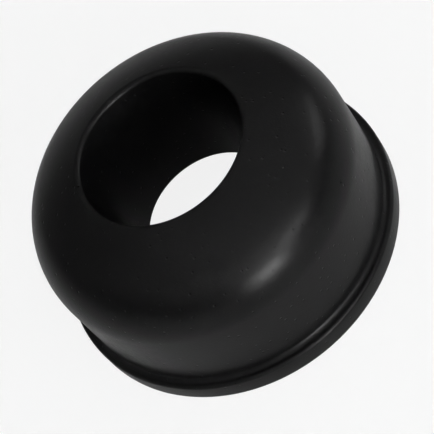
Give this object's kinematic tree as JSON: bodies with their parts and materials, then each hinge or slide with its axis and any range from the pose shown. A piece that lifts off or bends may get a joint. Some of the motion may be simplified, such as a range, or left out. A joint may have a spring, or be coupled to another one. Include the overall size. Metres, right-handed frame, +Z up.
{
  "type": "pipe adapter gasket",
  "caption": "Domed black rubber gasket with a beaded foot and a central bore that narrows to a sealing lip, for holding a small pipe in a wider opening.",
  "frame": {"origin": "on the bore's axis, at the middle of the flat foot", "axes": "+Z up along the bore, from the foot to the mouth; the gasket is round, so +X and +Y are free"},
  "size_m": [0.06, 0.06, 0.0312],
  "materials": {
    "rubber": "moulded black rubber, satin, with a fine mottled skin"
  },
  "bodies": {
    "root": {"gasket": "rubber"}
  },
  "joints": []
}
